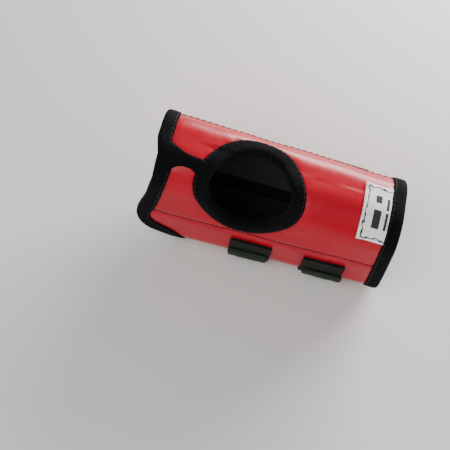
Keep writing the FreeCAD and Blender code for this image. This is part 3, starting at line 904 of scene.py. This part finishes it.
def makeStraps():
    s = straps
    foldT = marks[6] - tube["backR"] * math.radians(s["foldDeg"])
    bottomMid = marks[4] + spans[4] * 0.7
    outer = s["low"] + s["thick"]
    for i in (0, 1):
        name, cad, at = "strap%d" % (i + 1), "strap_%d" % (i + 1), strapMarks(i)
        x, patchX = s["x"][i], s["patchX"][i]
        tabT = at["tip"] - 1.0
        before, after = [place(x, foldT + way, 3.0, False) for way in (-3.0, 3.0)]
        way = Vector(after - before).normalized() * s["foldReach"] * mm
        middle = Vector(place(x, foldT, outer, False))
        obj = slab(name + "Tape", x, s["width"], at["top"], tabT, s["low"], outer, finish["strap"],
                   (1.8, 0.0), 0.45)
        finishPiece(obj, "strap", (cad + "_base", cad + "_end"),
                    blend=("sleeve", cad + "_end", middle - way, middle + way))
        obj = slab(name + "Tab", x, s["width"], tabT, at["end"], s["low"], outer, finish["strap"],
                   (0.0, 3.0), 0.45)
        bend = [Vector(place(x, t, 3.0, False)) for t in (tabT, at["tip"] + 2.0)]
        finishPiece(obj, "strap", (cad + "_tip",), blend=(cad + "_end", cad + "_tip", *bend))
        obj = slab(name + "Patch", patchX, s["patchWidth"], at["patch"], bottomMid, 0.02, s["low"] - 0.03,
                   finish["loop"], (1.5, 1.5), 0.7)
        finishPiece(obj, "loop", (cad + "_patch",), "sleeve")
        obj = slab("backPad%d" % (i + 1), patchX, s["patchWidth"], at["padLow"], at["padHigh"], -0.6, 1.2,
                   finish["loop"], (2.0, 2.0), 0.6)
        finishPiece(obj, "loop", ("loop_pad_%d" % (i + 1),), "back_flap")


# label

def makeLabel():
    x0, t0 = boxOf("label")[0][0], labelPrint["startT"]
    height = labelPrint["size"][1]
    width = labelPrint["size"][0] + labelPrint["tucked"]
    gx, gt = np.meshgrid(np.linspace(0, width, 31), np.linspace(0, height, 61))
    lift = 0.25 * np.exp(-gx / 2.5) * (0.6 + 0.4 * np.sin(gt / 6.0))
    corner = np.exp(-(gx ** 2 + np.minimum(gt, height - gt) ** 2) / 12.0)
    tilt = 0.03 * (gt - height / 2)
    d = 0.5 + lift + 0.9 * corner
    top = place(x0 + gx + tilt, t0 + gt, d)
    bottom = place(x0 + gx + tilt, t0 + gt, d - 0.3)
    obj = closedSheet("sizeLabel", top, bottom, np.stack([gx, gt], -1) / 10, finish["label"])
    finishPiece(obj, "label_cloth", ("label",), "sleeve")


# stay pocket

pocket = {"round": 1.4, "mouthRound": 0.9, "mouthDepth": 20.0, "slack": 0.32}


def makePocket():
    low, high = boxOf("stay_pocket")
    stayLow, stayHigh = boxOf("stay_cap_forearm")
    slack = pocket["slack"]

    def loop(y0, z0, y1, z1, r):
        pts = []
        middles = ((y1 - r, z1 - r), (y0 + r, z1 - r), (y0 + r, z0 + r), (y1 - r, z0 + r))
        for a0, (cy, cz) in zip((0, 90, 180, 270), middles):
            for k in range(7):
                a = math.radians(a0 + k * 15)
                pts.append((cy + r * math.cos(a), cz + r * math.sin(a)))
        return np.array(pts)

    outer = loop(low[1], low[2], high[1], high[2], pocket["round"])
    inner = loop(*(stayLow - slack)[1:], *(stayHigh + slack)[1:], pocket["mouthRound"])
    x = np.linspace(low[0], high[0], 90)
    rings = []
    for at in x:
        thin = min(1.0, 0.35 + (at - low[0]) / 6.0)
        swell = 0.12 * math.sin(at / 7.0) + 0.08 * math.sin(at / 3.1)
        ring = outer.copy()
        ring[:, 0] = low[1] + (ring[:, 0] - low[1]) * thin + swell * (ring[:, 0] > low[1] + 2)
        rings.append(np.column_stack([np.full(len(ring), at), ring]))
    for at in (high[0], high[0] - pocket["mouthDepth"]):
        rings.append(np.column_stack([np.full(len(inner), at), inner]))
    obj = sweep("stayPocket", np.array(rings) * mm, finish["lining"], False)
    finishPiece(obj, "lining", ("stay_pocket",), "sleeve")


# stitching

stitch = {"pitch": 3.3, "length": 2.5, "thread": 0.42, "seed": 7, "wander": 0.09, "inset": 1.3}


def stitchTree():
    tree = bpy.data.node_groups.new("stitchRow", "GeometryNodeTree")
    sockets = {}
    for label, kind in (("Geometry", "Geometry"), ("Pitch", "Float"), ("Stitch Length", "Float"),
                        ("Thread", "Float"), ("Seed", "Int"), ("Material", "Material")):
        sockets[label] = tree.interface.new_socket(label, in_out="INPUT", socket_type="NodeSocket" + kind)
    tree.interface.new_socket("Geometry", in_out="OUTPUT", socket_type="NodeSocketGeometry")
    kinds = {"start": "NodeGroupInput", "end": "NodeGroupOutput", "curve": "GeometryNodeMeshToCurve",
             "spaced": "GeometryNodeResampleCurve", "bead": "GeometryNodeMeshUVSphere",
             "onPoints": "GeometryNodeInstanceOnPoints", "align": "FunctionNodeAlignRotationToVector",
             "tangent": "GeometryNodeInputTangent", "wander": "FunctionNodeRandomValue",
             "sway": "ShaderNodeVectorMath", "size": "ShaderNodeCombineXYZ",
             "realize": "GeometryNodeRealizeInstances", "paint": "GeometryNodeSetMaterial"}
    made = {key: tree.nodes.new(kind) for key, kind in kinds.items()}
    made["spaced"].mode = "LENGTH"
    made["align"].axis = "Z"
    made["wander"].data_type = "FLOAT_VECTOR"
    for key, value in (("Segments", 8), ("Rings", 6), ("Radius", 0.5)):
        made["bead"].inputs[key].default_value = value
    for k, way in ((0, -1), (1, 1)):
        made["wander"].inputs[k].default_value = [way * stitch["wander"]] * 3
    for source, output, target, into in (
            ("start", "Geometry", "curve", "Mesh"), ("curve", "Curve", "spaced", "Curve"),
            ("start", "Pitch", "spaced", "Length"), ("spaced", "Curve", "onPoints", "Points"),
            ("bead", "Mesh", "onPoints", "Instance"), ("tangent", "Tangent", "sway", 0),
            ("start", "Seed", "wander", "Seed"), ("wander", "Value", "sway", 1),
            ("sway", "Vector", "align", "Vector"), ("align", "Rotation", "onPoints", "Rotation"),
            ("start", "Thread", "size", "X"), ("start", "Thread", "size", "Y"),
            ("start", "Stitch Length", "size", "Z"), ("size", "Vector", "onPoints", "Scale"),
            ("onPoints", "Instances", "realize", "Geometry"), ("realize", "Geometry", "paint", "Geometry"),
            ("start", "Material", "paint", "Material"), ("paint", "Geometry", "end", "Geometry")):
        tree.links.new(made[source].outputs[output], made[target].inputs[into])
    return tree, sockets


rowTree, rowSockets = stitchTree()


def sewRows(name, rows, body, slot, **settings):
    # every row is a line of points in metres; the result is one plain mesh of stitches
    s = dict(stitch, **settings)
    verts, edges = [], []
    for row in rows:
        first = len(verts)
        verts += [tuple(p) for p in row]
        edges += [(first + k, first + k + 1) for k in range(len(row) - 1)]
    guide = bpy.data.meshes.new(name + "Guide")
    guide.from_pydata(verts, edges, [])
    host = bpy.data.objects.new(name + "Guide", guide)
    bpy.context.scene.collection.objects.link(host)
    mod = host.modifiers.new("stitches", "NODES")
    mod.node_group = rowTree
    for label, value in (("Pitch", s["pitch"] * mm), ("Stitch Length", s["length"] * mm),
                         ("Thread", s["thread"] * mm), ("Seed", s["seed"]), ("Material", finish["thread"])):
        mod[rowSockets[label].identifier] = value
    bpy.context.view_layer.update()
    graph = bpy.context.evaluated_depsgraph_get()
    mesh = bpy.data.meshes.new_from_object(host.evaluated_get(graph))
    bpy.data.objects.remove(host)
    mesh.name = name
    if not mesh.materials:
        mesh.materials.append(finish["thread"])
    mesh.polygons.foreach_set("use_smooth", [True] * len(mesh.polygons))
    obj = bpy.data.objects.new(name, mesh)
    bpy.context.scene.collection.objects.link(obj)
    if body:
        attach(obj, body)
    else:
        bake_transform(obj)
    print("  ", name, len(mesh.vertices), "vertices")


def tapeRow(line, side, width, closed, height):
    # a row of stitches near the inner edge of a tape
    reach = np.broadcast_to(width, len(line)) - stitch["inset"]
    at = line + inwards(line, closed) * side * reach[:, None]
    if closed:
        at = np.vstack([at, at[:1]])
    return place(at[:, 0], at[:, 1], height)


def boxRow(xMid, halfX, t0, t1, d):
    # a box of stitches with a cross in it
    rows = []
    left, right = xMid - halfX, xMid + halfX
    corner = [(left, t0), (right, t0), (right, t1), (left, t1), (left, t0)]
    for a, b in list(zip(corner, corner[1:])) + [(corner[0], corner[2]), (corner[1], corner[3])]:
        f = np.linspace(0, 1, max(3, int(math.dist(a, b))))
        rows.append(place(a[0] + (b[0] - a[0]) * f, a[1] + (b[1] - a[1]) * f, d))
    return rows


def channelRows():
    s, rows = straps, []
    xs = np.arange(-63.0, 69.0, 1.5)
    for i in range(channels["count"]):
        z = channels["first"] + i * channels["pitch"]
        skip = np.zeros(len(xs), bool)
        for x in s["patchX"]:
            skip |= (np.abs(xs - x) < s["patchWidth"] / 2 + 1) & (s["padLowZ"] < z < s["padHighZ"])
        t = tAtZ(xs, z, "back")
        # the thread follows the cover down into its channel
        depth = flapRelief(xs, t, np.full(len(xs), 20.0), 0 * xs)
        pts = place(xs, t, cloth["backLift"] + depth + 0.12)
        for run in np.split(np.arange(len(xs)), np.where(np.diff(skip.astype(int)) != 0)[0] + 1):
            if not skip[run[0]] and len(run) > 3:
                rows.append(pts[run])
    return rows


def makeStitches(rootTapes, flapTape):
    height = binding["rise"] * 0.98
    xs = np.arange(-74.0, 78.0, 1.5)
    palmXs = xs[xs > -70]
    seams = [place(palmXs, palmSeam(palmXs), -cloth["seamDip"] + 0.18)]
    sewRows("palmSeamStitches", seams, "sleeve", "red_vinyl", thread=0.55, length=2.7)
    ridge = [place(xs, np.full(xs.shape, seamT + 2.4), cloth["backLift"] - cloth["seamDip"] + 0.35)]
    sewRows("ridgeSeamStitches", ridge, None, "red_vinyl", thread=0.85, length=2.9, pitch=4.1)
    rows = [tapeRow(*tape, height) for tape in rootTapes]
    sewRows("bindingStitches", rows, "sleeve", "binding", thread=0.34)
    inner = np.abs(flapTape[0][:, 1] - seamT - lap) > 14
    sewRows("flapBindingStitches", [tapeRow(*flapTape, height)[inner]], "back_flap", "binding", thread=0.34)
    sewRows("channelStitches", channelRows(), "back_flap", "red_vinyl")
    s, rows, padRows = straps, [], []
    half = s["patchWidth"] / 2
    for i in (0, 1):
        at, x = strapMarks(i), s["patchX"][i]
        rows += boxRow(s["x"][i], s["width"] / 2 - 2.2, at["top"] + 2.0, at["top"] + 15.0,
                       s["low"] + s["thick"] + 0.08)
        padRows += boxRow(x, half - 1.8, at["padLow"] + 1.8, at["padHigh"] - 1.8, 1.25)[:4]
        rows += boxRow(x, half - 1.6, at["patch"] + 1.6, at["patch"] + 8.0, s["low"])[:1]
    fine = {"thread": 0.34, "pitch": 2.6, "length": 2.0}
    sewRows("strapStitches", rows, "sleeve", "strap", **fine)
    sewRows("padStitches", padRows, "back_flap", "loop", **fine)


# pieces kept from the CAD model

def paintNodes():
    kept = {"foam": ["back_foam"], "weight": ["weight_%d" % i for i in (1, 2, 3, 4)],
            "stay": ["stay"], "dip": ["stay_cap_finger", "stay_cap_forearm"],
            "hook": ["strap_1_hook", "strap_2_hook"]}
    for key, names in kept.items():
        for name in names:
            obj = frame["nodes"][name]
            obj.data.materials.clear()
            obj.data.materials.append(finish[key])


# floor, light and camera

studio = {
    "floor": (0.80, 0.79, 0.77),
    "floorDark": (0.78, 0.77, 0.75),
    "world": (0.80, 0.84, 0.90),
    "worldStrength": 0.21,
    # centre, target, width, height, power and colour
    "lights": {
        "backSoftBox": ((0.30, 0.70, 0.30), (0.02, 0, 0.05), 0.65, 0.24, 16.0, (1.0, 0.93, 0.91)),
        "keySoftBox": ((-0.35, -0.55, 0.75), (0, 0, 0.04), 0.7, 0.6, 6.6, (1.0, 0.985, 0.96)),
        "fillSoftBox": ((0.65, -0.30, 0.45), (0, 0, 0.04), 0.6, 0.5, 1.4, (1, 1, 1)),
    },
}


def makeStudio():
    mat, tree, shader, place3 = startMaterial("paleFloor", studio["floor"], 0.8)
    paintRamp(tree, shader, noiseOf(tree, place3, 3.0), [(0.3, studio["floorDark"]), (0.7, studio["floor"])])
    floor = makeObject("floor", [(-3, -3, 0), (3, -3, 0), (3, 3, 0), (-3, 3, 0)], [(0, 1, 2, 3)], mat)
    world = bpy.data.worlds.new("studio")
    world.use_nodes = True
    sky = world.node_tree.nodes["Background"].inputs
    sky[0].default_value = (*studio["world"], 1)
    sky[1].default_value = studio["worldStrength"]
    bpy.context.scene.world = world
    for name, (centre, target, wide, tall, power, colour) in studio["lights"].items():
        data = bpy.data.lights.new(name, "AREA")
        data.shape = "RECTANGLE"
        data.size, data.size_y = wide, tall
        data.energy = power
        data.color = colour
        lamp = bpy.data.objects.new(name, data)
        lamp.location = centre
        lamp.rotation_euler = (Vector(target) - Vector(centre)).to_track_quat("-Z", "Y").to_euler()
        bpy.context.scene.collection.objects.link(lamp)


view = {
    "elevation": 60.0,
    "roll": 14.5,
    "lens": 70.0,
    "place": (-24.66, -300.99, 518.3),
}


def makeCamera():
    tilt, roll = math.radians(view["elevation"]), math.radians(view["roll"])
    back = Vector((0, -math.cos(tilt), math.sin(tilt)))
    up = Vector((0, math.sin(tilt), math.cos(tilt)))
    right = Vector((math.cos(roll), 0, 0)) + up * math.sin(roll)
    top = Vector((-math.sin(roll), 0, 0)) + up * math.cos(roll)
    data = bpy.data.cameras.new("camera")
    data.lens = view["lens"]
    data.clip_start = 0.01
    camera = bpy.data.objects.new("camera", data)
    turn = Matrix((right, top, back)).transposed().to_4x4()
    camera.matrix_world = Matrix.Translation(Vector(view["place"]) * mm) @ turn
    bpy.context.scene.collection.objects.link(camera)
    bpy.context.scene.camera = camera


makeStudio()
makeCamera()
paintNodes()
print("studio and camera set")
makeCovers()
print("covers, foam and linings made")
rootTapes, flapTape = makeBindings()
makeWebBand()
print("bindings made")
makeStraps()
makeLabel()
makePocket()
print("straps, label and pocket made")
makeStitches(rootTapes, flapTape)
print("stitches sewn")
